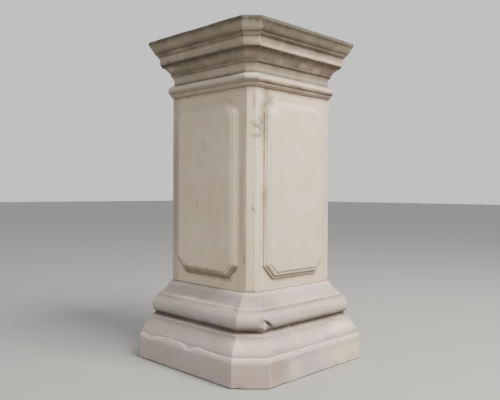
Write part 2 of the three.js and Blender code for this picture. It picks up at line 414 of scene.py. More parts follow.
CAP_MARKS = {
    "cream": (
        # Paler stone on the right face's corona and bead and on the near corner, which also paints the
        # light that falls there
        Mark("right", 60, 1119, 440, 20, 0.9),
        Mark("near", 0, 1130, 60, 26, 0.6),
        Mark("near", 0, 1166, 90, 40, 0.7),
        Mark("right", 0, 1014, 480, 14, 0.5),
    ),
    "warm": (
        Mark("right", 60, 1088, 300, 26, 0.35),
        Mark("right", 109, 1082, 70, 20, 0.5),
        Mark("near", 0, 1090, 70, 24, 0.35),
        Mark("left", 60, 1090, 200, 24, 0.4),
    ),
    "growth": (
        Mark("front", 120, 1172, 320, 40, 0.3),
        Mark("front", -60, 1170, 160, 34, 0.25),
        Mark("front", -240, 1172, 130, 44, 0.6),
        Mark("near", 0, 1172, 90, 34, 0.35),
        Mark("right", -186, 1134, 70, 26, 0.3),
        Mark("right", 250, 1126, 120, 36, 0.4),
        Mark("right", 60, 1170, 520, 40, 0.3),
        Mark("front", -60, 1050, 180, 34, 0.3),
        Mark("front", -100, 1092, 110, 20, 0.4),
        Mark("front", 60, 1090, 90, 18, 0.35),
        Mark("front", 160, 1088, 80, 16, 0.25),
        Mark("back", 40, 1172, 340, 36, 0.35),
        Mark("left", -80, 1170, 260, 36, 0.4),
    ),
    "pale": (
        Mark("near", 31, 1169, 9, 15, 1.0),
        Mark("near", -15, 1184, 20, 9, 0.2),
        Mark("right", -94, 1083, 48, 16, 0.22),
        Mark("right", 27, 1086, 50, 17, 0.28),
        Mark("right", 108, 1082, 44, 17, 0.28),
        Mark("right", 40, 1116, 340, 12, 0.3),
        Mark("front", -186, 1094, 34, 14, 0.22),
    ),
    "stain": (
        Mark("right", -236, 1160, 14, 50, 0.5),
        Mark("front", -160, 1160, 90, 14, 0.4),
        Mark("front", 90, 1158, 130, 12, 0.4),
        Mark("right", -30, 1098, 220, 14, 0.4),
        Mark("right", -200, 1094, 60, 22, 0.5),
        Mark("back", -60, 1098, 200, 14, 0.4),
    ),
    "crust": (
        Mark("right", 0, 1195, 1200, 26, 0.75),
        Mark("front", 0, 1197, 1200, 18, 0.4),
        Mark("back", 0, 1195, 1200, 26, 0.6),
        Mark("left", 0, 1197, 1200, 20, 0.5),
        # Painted shadow: this line and the next darken the soffit under the corona
        Mark("front", -40, 1111, 560, 8, 0.55),
        Mark("right", 255, 1108, 120, 12, 0.5),
    ),
}

# Faces and cut corners that share a side table. The tables add dirt, painted light that makes the cut
# corners paler, and painted shade in darker bands under the mouldings of the lit faces
CORNERS = ("near", "right corner", "far corner", "left corner")
LIT_FACES = ("right", "back")

BASE_WEATHER = Weather(
    # Dirt by height, with painted shade where the light doesn't reach: darkest at the shelf and groove
    # under the torus
    soiling=((0, 0.12), (8, 0.08), (84, 0.08), (97, 0.06), (101, 0.1), (106, 0.08), (114, 0.14),
             (122, 0.22), (132, 0.36), (140, 0.32), (147, 0.28), (156, 0.22), (160, 0.35),
             (165, 0.55), (170, 0.8), (176, 0.8), (183, 0.6), (192, 0.25), (200, 0.08), (218, 0.14),
             (228, 0.3), (234, 0.5), (238, 0.36), (242, 0.26), (248, 0.36), (255, 0.28), (263, 0.2),
             (272, 0.16), (280, 0.1), (287, 0.12)),
    sides=(
        (CORNERS, ((0, 0), (84, -0.05), (110, 0), (116, -0.2), (132, -0.4), (142, -0.3), (150, 0),
                   (157, 0), (163, 0.25), (170, 0.05), (185, -0.05), (200, 0), (218, -0.15),
                   (233, 0), (238, -0.3), (246, -0.35), (260, -0.2), (287, -0.12))),
        (LIT_FACES, ((0, -0.05), (60, -0.05), (78, 0.12), (90, 0.12), (98, 0.1), (104, 0.2),
                     (108, 0.34), (113, 0.12), (122, -0.16), (132, -0.3), (142, -0.2), (150, -0.1),
                     (157, 0), (163, 0.2), (170, 0), (183, 0.05), (192, -0.05), (200, -0.05),
                     (218, -0.14), (228, -0.1), (234, 0.1), (238, 0), (246, -0.12), (255, -0.2),
                     (272, -0.14), (287, -0.1))),
    ),
    rubbed=((0, 0.0), (80, 0.05), (85, 0.4), (92, 0.5), (98, 0.4), (103, 0.1), (150, 0.0), (280, 0.0),
            (287, 0.12)),
    held=((0, 1), (85, 1), (89, 0.1), (108, 0.1), (112, 1), (226, 1), (232, 0.6), (242, 0.6), (246, 1)),
    bared_and_highlit=((0, 1), (276, 1), (282, 0.3), (287, 0.3)),
    overhang_dirt_and_shade=((0, 0.15),),
)
DIE_WEATHER = Weather(
    # Darker towards the head: dirt, and painted shade under the cap
    soiling=((287, 0.02), (300, 0.04), (900, 0.03), (950, 0.05), (972, 0.12), (986, 0.5)),
    sides=(),
    rubbed=((287, 0.15), (296, 0.0), (986, 0.0)),
    # Painted shade on the die's surfaces that face down, under the panels' borders
    overhang_dirt_and_shade=((300, 0), (310, 0.8), (975, 0.8)),
)
CAP_WEATHER = Weather(
    # Dirt by height, with painted shade under the overhangs: darkest on the lower cyma and soffit under the
    # corona, and under the crown
    soiling=((986, 0.42), (989, 0.32), (996, 0.45), (1002, 0.52), (1005, 0.66), (1010, 0.48),
             (1014, 0.22), (1024, 0.06), (1029, 0.48), (1034, 0.76), (1038, 0.38), (1042, 0.22),
             (1052, 0.28), (1064, 0.24), (1069, 0.72), (1073, 0.94), (1077, 0.8), (1083, 0.7),
             (1093, 0.64), (1102, 0.94), (1110, 1.0), (1113, 0.76), (1117, 0.64), (1127, 0.5),
             (1138, 0.4), (1144, 0.5), (1149, 0.82), (1153, 0.95), (1157, 0.82), (1161, 0.72),
             (1171, 0.54), (1182, 0.64), (1188, 0.92), (1195, 1.0), (1200, 0.8)),
    sides=(
        (CORNERS, ((986, -0.1), (996, 0.05), (1002, 0.15), (1012, 0), (1024, 0.1), (1034, 0.05),
                   (1042, 0), (1076, -0.05), (1083, -0.14), (1093, -0.22), (1101, -0.05), (1112, 0),
                   (1117, -0.1), (1127, -0.24), (1138, -0.4), (1146, -0.34), (1152, -0.3),
                   (1161, -0.4), (1171, -0.42), (1182, -0.36), (1188, -0.15), (1200, 0))),
        (LIT_FACES, ((986, 0.1), (992, 0.2), (996, 0.34), (1002, 0.38), (1006, 0.12), (1014, 0),
                     (1019, 0.3), (1024, 0.6), (1029, 0.3), (1036, 0.15), (1042, 0.2), (1052, 0.44),
                     (1062, 0.44), (1069, 0.2), (1078, 0.03), (1102, 0), (1110, -0.15),
                     (1117, -0.22), (1122, 0), (1127, 0.18), (1138, 0.36), (1144, 0.2), (1152, 0),
                     (1161, 0.05), (1171, 0.38), (1182, 0.3), (1188, 0.08), (1200, 0.2))),
    ),
    rubbed=((986, 0.0), (1014, 0.0), (1020, 0.12), (1028, 0.05), (1200, 0.0)),
    # Under the corona the hollows' painted shade is strengthened, a painted shadow line along the soffit
    held=((986, 1), (1096, 1), (1101, 2.6), (1112, 2.6), (1114, 1)),
    bared_and_highlit=((986, 1), (1018, 0.6), (1100, 0.8), (1140, 0.4), (1182, 0.15), (1200, 0.1)),
)


# Patterns of the stone, from the broadest to the finest, and its pits
CLOUDS = Noise(4.5, 3, 0.55)
HUES = Noise(9, 2, 0.5)
MOTTLE = Noise(24, 6, 0.65)
STREAKS = Noise(30, 4, 0.6)
PITTED_AREAS = Noise(38, 3, 0.6)
DRIFT = Noise(55, 4, 0.6)
UNEVENNESS = Noise(60, 5, 0.6)
GRAININESS = Noise(420, 4, 0.7)
PITS_PER_METRE = 150
STREAK_STRETCH = (1, 1, 0.12)  # streaks are drawn out upwards
NOISE_MIDDLE = (0.5, 0.5, 0.5)  # mean colour of a noise
DRIFT_REACH = 24 * MM  # how far the rims of marks wander

# Part of a pattern's range that shows, and the shares that its two ends give, 0 and 1 if not named
CLOUD_RANGE = (0.35, 0.65)
HUE_RANGE = (0.4, 0.6)
MOTTLE_RANGE = (0.4, 0.75, 0, 0.5)
STREAK_RANGE = (0.5, 0.8, 0, 0.3)
GRAIN_RANGE = (0.3, 0.7, 0.0, 0.14)
BROKEN_RANGE = (0.3, 0.7, 0.88, 1.1)
RUBBED_RANGE = (0.3, 0.6, 0.5, 1)
ARRIS_HIGHLIGHT_RANGE = (0.42, 0.6, 0.03, 0.35)
HOLLOW_SHADE_RANGE = (0.3, 0.6, 0.5, 0.9)
ROUGHNESS_RANGE = (0.3, 0.7, 0.82, 0.95)
PIT_RANGE = (0.3, 0.12)
PITTED_RANGE = (0.56, 0.7)

# Tones against the clean colour of the stone or the dirt: brightness and tint
DULL_CLOUD = (0.95, (1.0, 1.0, 0.97))
BRIGHT_CLOUD = (1.04, (1.0, 0.99, 1.02))
DARK_MOTTLE = (0.86, (1, 0.985, 0.96))
DARK_STREAK = (0.78, (1, 0.98, 0.93))
DARK_GRAIN = (0.72,)
# Painted shade and dirt in the hollows: darker and bluer than the plain dirt
HOLLOW_SHADE_AND_SOIL = (0.7, (1, 1.02, 1.1))
PIT_SOIL = (1.4,)
PIT_SHARE = 0.5
GREENISH = (0.955, 1.01, 0.93, 1)
LILAC = (1.03, 0.965, 1.06, 1)

# Marks that lie under the dirt and marks that lie over it
EARLY_MARKS = ("cream", "grime", "warm")
LATE_MARKS = ("growth", "pale", "stain", "crust")

# Bumps of the surface: strength and depth
UNEVEN_BUMP = (0.5, 1.2 * MM)
GRAIN_BUMP = (0.5, 0.35 * MM)
PIT_BUMP = (0.7, 0.9 * MM)
# Specular level of every stone
GLOSS = 0.25


class StoneColours(bpy.types.PropertyGroup):
    """Colours of the stones and of what has settled on them."""

    base_stone: bpy.props.FloatVectorProperty(
        name="Base stone", description="Clean colour of the base", subtype="COLOR",
        size=3, min=0, max=1, default=(0.5, 0.43, 0.4))
    die_stone: bpy.props.FloatVectorProperty(
        name="Die stone", description="Clean colour of the die", subtype="COLOR",
        size=3, min=0, max=1, default=(0.64, 0.525, 0.405))
    cap_stone: bpy.props.FloatVectorProperty(
        name="Cap stone", description="Clean colour of the cap", subtype="COLOR",
        size=3, min=0, max=1, default=(0.605, 0.503, 0.4))
    # This dark colour is also the painted shade under ledges and in the hollows
    soil: bpy.props.FloatVectorProperty(
        name="Soil", description="Grey-brown dirt in hollows and under ledges", subtype="COLOR",
        size=3, min=0, max=1, default=(0.112, 0.088, 0.064))
    stain: bpy.props.FloatVectorProperty(
        name="Stain", description="Brown run from damp", subtype="COLOR",
        size=3, min=0, max=1, default=(0.222, 0.182, 0.14))
    grime: bpy.props.FloatVectorProperty(
        name="Grime", description="Grey veil", subtype="COLOR",
        size=3, min=0, max=1, default=(0.25, 0.215, 0.212))
    growth: bpy.props.FloatVectorProperty(
        name="Growth", description="Greenish growth on the mouldings", subtype="COLOR",
        size=3, min=0, max=1, default=(0.235, 0.22, 0.14))
    warm: bpy.props.FloatVectorProperty(
        name="Warm stain", description="Orange-brown stain", subtype="COLOR",
        size=3, min=0, max=1, default=(0.42, 0.28, 0.175))
    # Also the colour of the painted highlight on the arrises
    pale: bpy.props.FloatVectorProperty(
        name="Pale stone", description="Rubbed or freshly broken stone", subtype="COLOR",
        size=3, min=0, max=1, default=(0.74, 0.65, 0.56))
    crust: bpy.props.FloatVectorProperty(
        name="Crust", description="Dark grey crust on exposed arrises", subtype="COLOR",
        size=3, min=0, max=1, default=(0.07, 0.07, 0.062))
    # Where it lies on the near corners and the right face's cornice, this colour also paints light
    cream: bpy.props.FloatVectorProperty(
        name="Cream stone", description="Yellowish clean stone", subtype="COLOR",
        size=3, min=0, max=1, default=(0.74, 0.6, 0.42))


class WearSizes(bpy.types.PropertyGroup):
    """How far the stones' arrises and faces are worn."""

    crisp: bpy.props.FloatProperty(
        name="Crisp arris", description="Rounding of the best preserved arrises",
        default=1.1 * MM, min=0.3 * MM, unit="LENGTH")
    worn: bpy.props.FloatProperty(
        name="Worn arris", description="Rounding of the most worn arrises",
        default=4.5 * MM, min=1 * MM, unit="LENGTH")
    share: bpy.props.FloatProperty(
        name="Wear", description="Share of the arrises that is worn", default=0.45,
        min=0, max=1, subtype="FACTOR")
    waviness: bpy.props.FloatProperty(
        name="Waviness", description="Depth of the broad unevenness left by the tools",
        default=0.8 * MM, min=0, unit="LENGTH")
    corner: bpy.props.FloatProperty(
        name="Corner rounding", description="Rounding of the upright arrises",
        default=3.5 * MM, min=0.5 * MM, unit="LENGTH")


class PanelSizes(bpy.types.PropertyGroup):
    """Size and place of the raised panels."""

    corner_width: bpy.props.FloatProperty(
        name="Die corner width", description="Width of the flat cut on each corner of the die",
        default=30 * MM, min=10 * MM, unit="LENGTH")
    side_margin: bpy.props.FloatProperty(
        name="Side margin", description="From the cut corner to the panel",
        default=40 * MM, min=30 * MM, unit="LENGTH")
    foot_margin: bpy.props.FloatProperty(
        name="Foot margin", description="From the foot of the die to the panel",
        default=40 * MM, min=30 * MM, unit="LENGTH")
    head_margin: bpy.props.FloatProperty(
        name="Head margin", description="From the panel to the head of the die",
        default=39 * MM, min=30 * MM, unit="LENGTH")
    corner_cut: bpy.props.FloatProperty(
        name="Clipped corner", description="Length clipped off each side at the panel's corners",
        default=46 * MM, min=35 * MM, unit="LENGTH")


class StudioLight(bpy.types.PropertyGroup):
    """Camera and light."""

    distance: bpy.props.FloatProperty(
        name="Camera distance", description="From the object's middle to the camera",
        default=2.245, min=1, unit="LENGTH")
    eye_height: bpy.props.FloatProperty(
        name="Eye height", description="Height of the camera above the floor",
        default=0.6286, min=0.1, unit="LENGTH")
    azimuth: bpy.props.FloatProperty(
        name="Camera azimuth", description="How far round from the front the camera stands",
        default=math.radians(44.74), subtype="ANGLE")
    roll: bpy.props.FloatProperty(
        name="Camera roll", description="Lean of the camera to its left",
        default=math.radians(0.3), subtype="ANGLE")
    focal_pixels: bpy.props.FloatProperty(
        name="Focal length", description="Focal length in pixels of the photograph", default=576.5, min=100)
    middle_shift: bpy.props.FloatProperty(
        name="Middle shift", description="Pixels from the picture's middle right to the object's middle",
        default=0.44)
    horizon_shift: bpy.props.FloatProperty(
        name="Horizon shift", description="Pixels from the picture's middle up to the horizon", default=8.2)
    key_power: bpy.props.FloatProperty(
        name="Key light", description="Power of the large soft light", default=400, min=0, unit="POWER")
    key_colour: bpy.props.FloatVectorProperty(
        name="Key colour", description="Colour of the large soft light", subtype="COLOR", size=3,
        min=0, max=1, default=(1.0, 0.94, 0.84))
    key_size: bpy.props.FloatProperty(
        name="Key size", description="Width of the large soft light", default=1.8, min=0.1, unit="LENGTH")
    key_azimuth: bpy.props.FloatProperty(
        name="Key azimuth", description="How far round from the front the light stands",
        default=math.radians(94), subtype="ANGLE")
    key_elevation: bpy.props.FloatProperty(
        name="Key elevation", description="Height of the light above the horizon",
        default=math.radians(52), subtype="ANGLE")
    fill: bpy.props.FloatProperty(
        name="Fill", description="Brightness of the light from all round", default=0.88, min=0)
    floor_colour: bpy.props.FloatVectorProperty(
        name="Floor", description="Colour of the floor", subtype="COLOR", size=3, min=0, max=1,
        default=(0.3, 0.3, 0.3))


class Grain:
    """Smooth random field: seeded values on a cubic lattice, blended between by 3s^2 - 2s^3."""

    cells = 32

    def __init__(self, seed):
        shape = (self.cells, self.cells, self.cells)
        self.values = np.random.default_rng(seed).uniform(-1, 1, shape)

    def at(self, points, size):
        """Value from -1 to 1 at each point, its lumps about as large as the size in metres."""
        place = np.asarray(points) / np.asarray(size)
        low = np.floor(place).astype(int)
        share = place - low
        share = share * share * (3 - 2 * share)
        total = np.zeros(place.shape[:-1])
        for corner in np.ndindex(2, 2, 2):
            offset = np.array(corner)
            weight = np.prod(np.where(offset == 1, share, 1 - share), axis=-1)
            index = (low + offset) % self.cells
            total += weight * self.values[index[..., 0], index[..., 1], index[..., 2]]
        return total

    def layered(self, points, size, layers=3):
        """Sum of layers, each half as large and half as strong as the one before."""
        total = sum(self.at(points, np.asarray(size) / 2 ** k) / 2 ** k for k in range(layers))
        return total / (2 - 2 ** (1 - layers))

    def share(self, points, size):
        """The layered value brought to the range from 0 to 1."""
        return 0.5 + 0.5 * self.layered(points, size)


def member_path(members, steps=24):
    """Outline drawn member by member from (0, 0), in metres.
    A bent member is the cubic 3(1-t)^2 t A + 3(1-t) t^2 B + t^3 times its reach and rise."""
    t = np.linspace(0, 1, steps + 1)[1:, None]
    place = np.zeros(2)
    path = [place[None]]
    for member in members:
        reach = np.array([member.out, member.up]) * MM
        if member.bend:
            first, second = np.array(member.bend, float)
            shares = 3 * (1 - t) ** 2 * t * first + 3 * (1 - t) * t ** 2 * second + t ** 3
        else:
            shares = np.ones((1, 2))
        path.append(place + shares * reach)
        place = place + reach
    return np.concatenate(path)


def even_path(path, spacing):
    """The same outline with its points evenly spaced along it."""
    along = np.concatenate([[0], np.cumsum(np.hypot(*np.diff(path, axis=0).T))])
    at = np.linspace(0, along[-1], int(along[-1] / spacing) + 1)
    return np.stack([np.interp(at, along, path[:, axis]) for axis in (0, 1)], axis=1)


def softened(path, reach, spacing):
    """Each point becomes the mean of its neighbours under a bell as wide as the reach."""
    half = int(BELL_TAIL * reach / spacing) + 1
    bell = np.exp(-0.5 * (np.arange(-half, half + 1) * spacing / reach) ** 2)
    bell /= bell.sum()
    padded = np.pad(path, ((half, half), (0, 0)), mode="reflect", reflect_type="odd")
    return np.stack([np.convolve(padded[:, axis], bell, "valid") for axis in (0, 1)], axis=1)


class Outline:
    """A softened outline at chosen places, with its normals, its wear and its hollows.
    Places crowd together where the outline turns. Hollows are where a broad mean lies outside.
    The outside is to the right of the path, or to its left where turned is -1."""

    spacing = 0.4 * MM     # between the points at which the outline is worked out
    broad = 7 * MM         # reach of the broad mean
    deep = 2.5 * MM        # how far outside the broad mean lies at a full hollow
    turn_reach = 1.5 * MM  # how far to either side of a turn the places crowd
    crowding = 5           # how much closer they crowd where the outline turns as it does on average
    filling = 0.2          # share of the worn outline's shift by which hollows fill up

    def __init__(self, path, wear, count, turned=1):
        even = even_path(path, self.spacing)
        crisp = softened(even, wear.crisp, self.spacing)
        worn = softened(even, wear.worn, self.spacing)
        broad = softened(even, self.broad, self.spacing)
        slope = np.gradient(crisp, axis=0)
        slope /= np.linalg.norm(slope, axis=1, keepdims=True)
        normal = turned * np.stack([slope[:, 1], -slope[:, 0]], axis=1)
        bulge = np.sum((broad - crisp) * normal, axis=1) / self.deep
        turn = np.hypot(*np.gradient(slope, axis=0).T)[:, None]
        crowd = softened(np.repeat(turn, 2, axis=1), self.turn_reach, self.spacing)[:, 0]
        density = 1 + self.crowding * crowd / crowd.mean()
        total = np.concatenate([[0], np.cumsum((density[1:] + density[:-1]) / 2)])
        place = np.interp(np.linspace(0, total[-1], count), total, np.arange(len(total)))
        filled = np.sum((worn - crisp) * normal, axis=1) > 0
        shift = (worn - crisp) * np.where(filled, self.filling, 1.0)[:, None]

        def chosen(values):
            return np.interp(place, np.arange(len(values)), values)

        self.out = chosen(crisp[:, 0])
        self.up = chosen(crisp[:, 1])
        self.normal = np.stack([chosen(normal[:, 0]), chosen(normal[:, 1])])
        self.shift = np.stack([chosen(shift[:, 0]), chosen(shift[:, 1])])
        self.hollow = np.clip(chosen(bulge), 0, 1)
        self.arris = np.clip(-chosen(bulge), 0, 1)


def level_directions(turns):
    """Level directions, each some eighths of a turn counterclockwise from +X: cosine and sine."""
    angle = turns * EIGHTH
    return np.stack([np.cos(angle), np.sin(angle)], axis=1)


class Plan:
    """Samples round a square with cut corners, counterclockwise, each arris an arc.
    A sample lies at F * inner + G * reach + N * radius, where inner is the half width less the
    radius, reach is how far a face runs from its middle, and N is the way the sample faces."""

    def __init__(self, face_count, cut_count, arc_count):
        across, beside, facing = [], [], []
        for edge in range(8):
            count = face_count if edge % 2 == 0 else cut_count
            share = np.linspace(0, 1, count)[:, None]
            start, end = self.vertex(edge - 1), self.vertex(edge)
            across.append((1 - share) * start[0] + share * end[0])
            beside.append((1 - share) * start[1] + share * end[1])
            facing.append(np.repeat(self.heading(edge)[None], count, axis=0))
            turn = edge + np.arange(1, arc_count + 1) / (arc_count + 1)
            across.append(np.repeat(end[0][None], arc_count, axis=0))
            beside.append(np.repeat(end[1][None], arc_count, axis=0))
            facing.append(level_directions(turn))
        self.across = np.concatenate(across)
        self.beside = np.concatenate(beside)
        self.facing = np.concatenate(facing)

    @staticmethod
    def heading(edge):
        """Outward direction of an edge, 45 degrees apart."""
        angle = edge * EIGHTH
        return np.array([math.cos(angle), math.sin(angle)])

    @classmethod
    def vertex(cls, edge):
        """The face beside the arris that ends an edge: its direction, and the way along it."""
        face = edge if edge % 2 == 0 else edge + 1
        way = 1 if edge % 2 == 0 else -1
        return cls.heading(face), way * cls.heading(face + 2)

    def place(self, half, cut, radius):
        """Points for a grid of half widths and of legs of the cut corner."""
        inner = (half - radius)[..., None]
        reach = inner - (cut - LEG_LOSS * radius)[..., None]
        return self.across * inner + self.beside * reach + self.facing * radius


def grid_quads(rows, columns, closed):
    """Faces between neighbouring rows and columns of a grid. A closed one's last column meets its first."""
    row = np.arange(rows - 1)[:, None]
    column = np.arange(columns if closed else columns - 1)[None]
    beside = (column + 1) % columns
    corners = (row * columns + column, row * columns + beside,
               (row + 1) * columns + beside, (row + 1) * columns + column)
    return np.stack([corner.reshape(-1) for corner in corners], axis=1)


def tilted(points, side):
    """Distance along a side and height of each point, in millimetres."""
    angle = math.radians(SIDE_ANGLES[side])
    along = points[..., 1] * math.cos(angle) - points[..., 0] * math.sin(angle)
    return along / MM, points[..., 2] / MM


def nearness(patch, points):
    """Squared distance from a patch's middle as a share of its half size: 1 on its rim."""
    along, height = tilted(points, patch.side)
    turn = math.radians(patch.tilt)
    across = along - patch.along
    rise = height - patch.height
    long_way = (across * math.cos(turn) + rise * math.sin(turn)) / (patch.wide / 2)
    short_way = (rise * math.cos(turn) - across * math.sin(turn)) / (patch.tall / 2)
    return long_way ** 2 + short_way ** 2


def squareness(headings, side):
    """Cosine of the angle between a level direction and the way a side faces."""
    angle = math.radians(SIDE_ANGLES[side])
    return headings[..., 0] * math.cos(angle) + headings[..., 1] * math.sin(angle)


def facing_side(headings, side):
    """True where a level direction faces the side."""
    return squareness(headings, side) > FACING


def broken_depth(losses, points, headings, grain):
    """Depth in metres of the losses: deep * (1 - r^2)^power inside each ragged rim."""
    depth = np.zeros(points.shape[:-1])
    ragged = 1 + RIM_RAGGEDNESS * grain.layered(points, RIM_LUMPS)
    for loss in losses:
        inside = np.clip(1 - nearness(loss, points) * ragged, 0, 1) ** BOWL_POWER
        depth = np.maximum(depth, np.where(facing_side(headings, loss.side), inside * loss.deep * MM, 0))
    return depth


def by_height(table, heights):
    """Share that a table gives at each height in millimetres."""
    return np.interp(heights, *np.array(table, float).T)


def banded(bands, sides, points, headings, grain):
    """Share by height with what each side adds, made uneven by the grain, runs of rain and blotches.
    It is the share times 1 + change * (run + blotch), held between 0 and 1."""
    heights = points[..., 2] / MM + BAND_WANDER * grain.at(points, BAND_LUMPS)
    level = by_height(bands, heights)
    for names, added in sides:
        turned = np.max([squareness(headings, side) for side in names], axis=0)
        level = level + np.clip((turned - SIDE_START) / SIDE_FADE, 0, 1) * by_height(added, heights)
    runs = grain.layered(points, RUN_SIZE)
    # Blotches are read a metre away, so that they don't lie where the runs do
    blotches = grain.layered(points + 1, BLOTCH_SIZE)
    return np.clip(level * (1 + BAND_CHANGE * runs + BAND_CHANGE * blotches), 0, 1)


def add_mask(mesh, name, values):
    """Keeps a value on each point of a mesh, for its material to read."""
    mesh.attributes.new(name, "FLOAT", "POINT").data.foreach_set("value", values.astype(np.float32))


def build_piece(name, points, quads, masks):
    """A closed smooth mesh from grids that share their rims: doubles merged, faces turned outwards."""
    mesh = bpy.data.meshes.new(name)
    mesh.from_pydata(points.tolist(), [], quads.tolist())
    for mask, values in masks.items():
        add_mask(mesh, mask, values)
    work = bmesh.new()
    work.from_mesh(mesh)
    bmesh.ops.remove_doubles(work, verts=work.verts, dist=MERGE_DISTANCE)
    bmesh.ops.recalc_face_normals(work, faces=work.faces)
    work.to_mesh(mesh)
    work.free()
    mesh.shade_smooth()
    piece = bpy.data.objects.new(name, mesh)
    bpy.context.scene.collection.objects.link(piece)
    return piece


def mesh_values(mesh):
    """Points of a mesh, their normals, and the ways they face seen from above, which are short
    where the surface is all but level."""
    points = np.zeros(len(mesh.vertices) * 3, np.float32)
    mesh.vertices.foreach_get("co", points)
    normals = np.zeros(len(mesh.vertices) * 3, np.float32)
    mesh.vertex_normals.foreach_get("vector", normals)
    points = points.reshape(-1, 3).astype(float)
    normals = normals.reshape(-1, 3).astype(float)
    level = normals[:, :2] / np.maximum(np.linalg.norm(normals[:, :2], axis=1, keepdims=True), LEVEL)
    return points, normals, level


def paint_masks(piece, grain, weather):
    """Writes how dirty and shaded and how rubbed each point of a piece is.
    Surfaces that face down get dirt and painted shade too: the overhang table times how far the surface
    faces down.
    What hollows hold, dirt with painted shade, and what arrises have lost, pale wear with painted
    highlight, is the outline's value times the share at that height."""
    points, normals, headings = mesh_values(piece.data)
    patchy = 1 + OVERHANG_SHADE_CHANGE * grain.layered(points, OVERHANG_SHADE_PATCH)
    downward_dirt_and_shade = by_height(weather.overhang_dirt_and_shade, points[:, 2] / MM)
    downward_dirt_and_shade = downward_dirt_and_shade * np.clip((-normals[:, 2] - OVERHANG_START) / OVERHANG_FADE, 0, 1) * patchy
    soiled_and_shaded = banded(weather.soiling, weather.sides, points, headings, grain)
    for mask, table in (("hollow", weather.held), ("arris", weather.bared_and_highlit)):
        values = np.zeros(len(points), np.float32)
        piece.data.attributes[mask].data.foreach_get("value", values)
        values = np.clip(values * by_height(table, points[:, 2] / MM), 0, 1).astype(np.float32)
        piece.data.attributes[mask].data.foreach_set("value", values)
    add_mask(piece.data, "soiling", np.clip(np.maximum(soiled_and_shaded, downward_dirt_and_shade), 0, 1))
    add_mask(piece.data, "rubbed", banded(weather.rubbed, (), points, headings, grain))


class Course:
    """Surface of a moulded course: an outline carried round a square with cut corners.
    Each point is the outline's point, moved towards the worn outline by the wear, in along its
    normal by losses and waviness, and up by the wave of the arris."""

    lead = 40 * MM  # how far the outline runs on over the beds, towards the axis
    rings = 184
    foot_rings = 4
    head_rings = 26
    wear_size = (60 * MM, 60 * MM, 40 * MM)
    wear_change = 0.9
    wave_size = 260 * MM

    def __init__(self, node, members, taper, wear, grain):
        low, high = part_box(node)
        path = member_path(members)
        if abs(path[-1, 1] - (high.z - low.z)) > HEIGHT_SLACK * MM:
            raise RuntimeError(f"the outline of {node} is {path[-1, 1]:.4f} m high, unlike its node")
        path = path + [high.x - path[:, 0].max(), low.z]
        path = np.concatenate([[path[0] - [self.lead, 0]], path, [path[-1] - [self.lead, 0]]])
        self.outline = Outline(path, wear, self.rings)
        self.plan = Plan(face_count=84, cut_count=12, arc_count=4)
        self.taper = taper
        self.wear = wear
        self.grain = grain

    def place(self, out, up):
        """Points of the course for a grid of reaches and heights."""
        share = (out / MM - self.taper.near_half) / (self.taper.far_half - self.taper.near_half)
        width = self.taper.near_width + share * (self.taper.far_width - self.taper.near_width)
        level = self.plan.place(out, width * MM / math.sqrt(2), self.wear.corner)
        return np.concatenate([level, up[..., None]], axis=-1)

    @staticmethod
    def closing(ring, count):
        """Rings that shrink evenly from a ring to the point of the axis at its mean height."""
        share = np.linspace(1, 0, count + 1)[1:, None, None]
        middle = np.array([0, 0, ring[:, 2].mean()])
        return middle + (ring - middle) * share

    def build(self, name, losses, wave):
        """The piece, with its losses; wave gives how far points are lifted, from their places."""
        outline = self.outline
        shape = (len(outline.out), len(self.plan.facing))
        out = np.broadcast_to(outline.out[:, None], shape)
        up = np.broadcast_to(outline.up[:, None], shape)
        points = self.place(out, up)
        headings = np.broadcast_to(self.plan.facing, shape + (2,))
        patchy = self.grain.layered(points, self.wear_size)
        worn = np.clip(self.wear.share + self.wear_change * patchy, 0, 1)
        depth = broken_depth(losses, points, headings, self.grain)
        depth = depth + self.wear.waviness * self.grain.share(points, self.wave_size)
        out = out + worn * outline.shift[0][:, None] - depth * outline.normal[0][:, None]
        up = up + worn * outline.shift[1][:, None] - depth * outline.normal[1][:, None]
        up = up + wave(points, headings)
        up = np.clip(up, outline.up.min(), outline.up.max())
        points = self.place(out, up)
        foot = self.closing(points[0], self.foot_rings)
        head = self.closing(points[-1], self.head_rings)
        points = np.concatenate([foot[::-1], points, head])
        beds = (self.foot_rings, self.head_rings)
        masks = {mask: np.repeat(np.pad(values, beds), shape[1])
                 for mask, values in (("hollow", outline.hollow), ("arris", outline.arris))}
        quads = grid_quads(points.shape[0], shape[1], closed=True)
        return build_piece(name, points.reshape(-1, 3), quads, masks)


